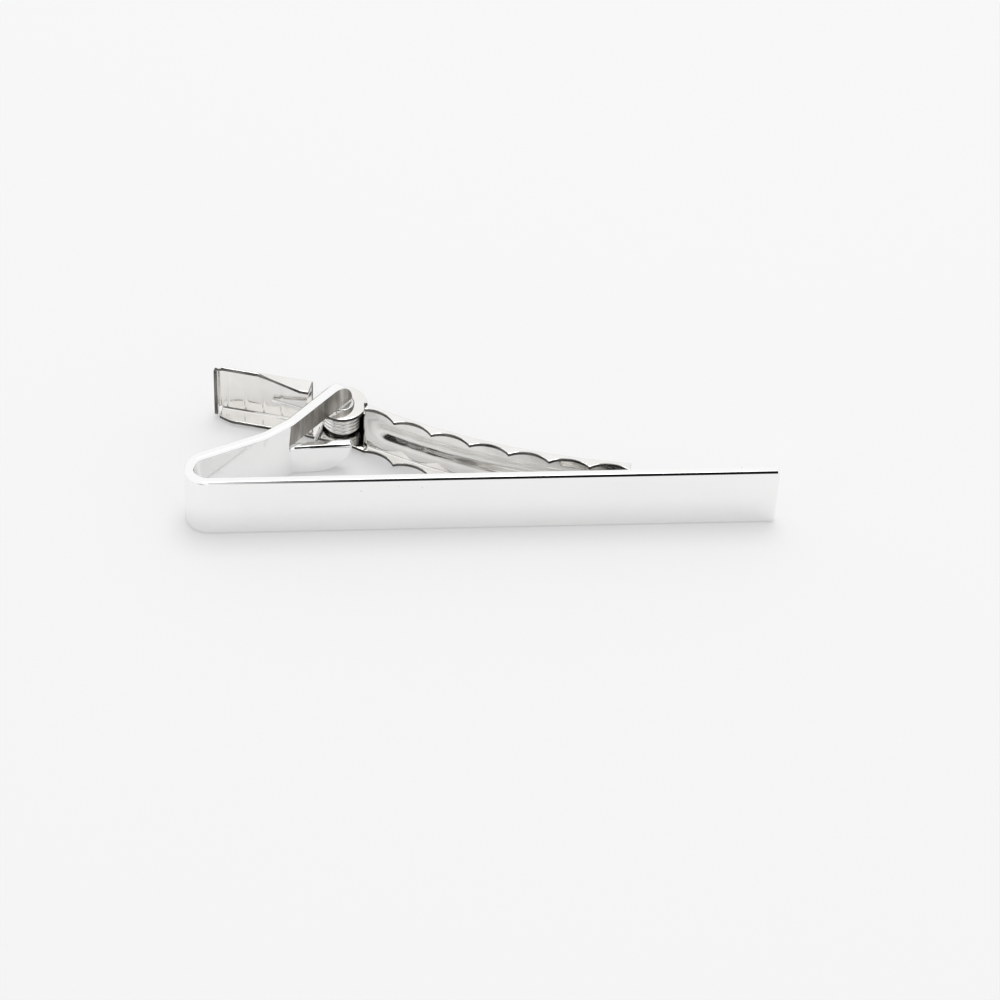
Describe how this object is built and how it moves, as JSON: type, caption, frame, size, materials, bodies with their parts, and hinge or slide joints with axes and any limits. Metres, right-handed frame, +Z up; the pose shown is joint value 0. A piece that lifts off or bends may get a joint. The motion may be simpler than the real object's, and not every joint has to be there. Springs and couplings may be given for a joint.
{
  "type": "tie bar",
  "caption": "Polished tie bar: a flat strip folded back on itself, with a sprung, toothed clasp jaw that hinges on the folded end.",
  "frame": {"origin": "on the surface that the bar stands on, under the middle of the whole part's box", "axes": "+X along the bar from the folded end to the free end, +Y from the front face towards the clasp, +Z up across the bar's width"},
  "size_m": [0.054, 0.0168, 0.0063],
  "materials": {
    "polished_plate": "mirror-polished rhodium-tone plating",
    "stud_steel": "bright turned steel, peened end",
    "spring_wire": "bright drawn spring wire",
    "jaw_sheet": "bright pressed sheet with fine press lines"
  },
  "bodies": {
    "bar": {"bar": "polished_plate", "hinge_stud": "stud_steel", "torsion_spring": "spring_wire"},
    "jaw": {"clasp_jaw": "jaw_sheet"}
  },
  "joints": [
    {"name": "jaw_hinge", "type": "hinge", "parent": "bar", "child": "jaw", "pos_m": [-0.01236, 0.00516, 0.002], "axis": [0, 0, 1], "range_deg": [0, 22], "stiffness_Nm_per_rad": 0.03, "springref_deg": -57.3, "deforming": ["torsion_spring"]}
  ]
}
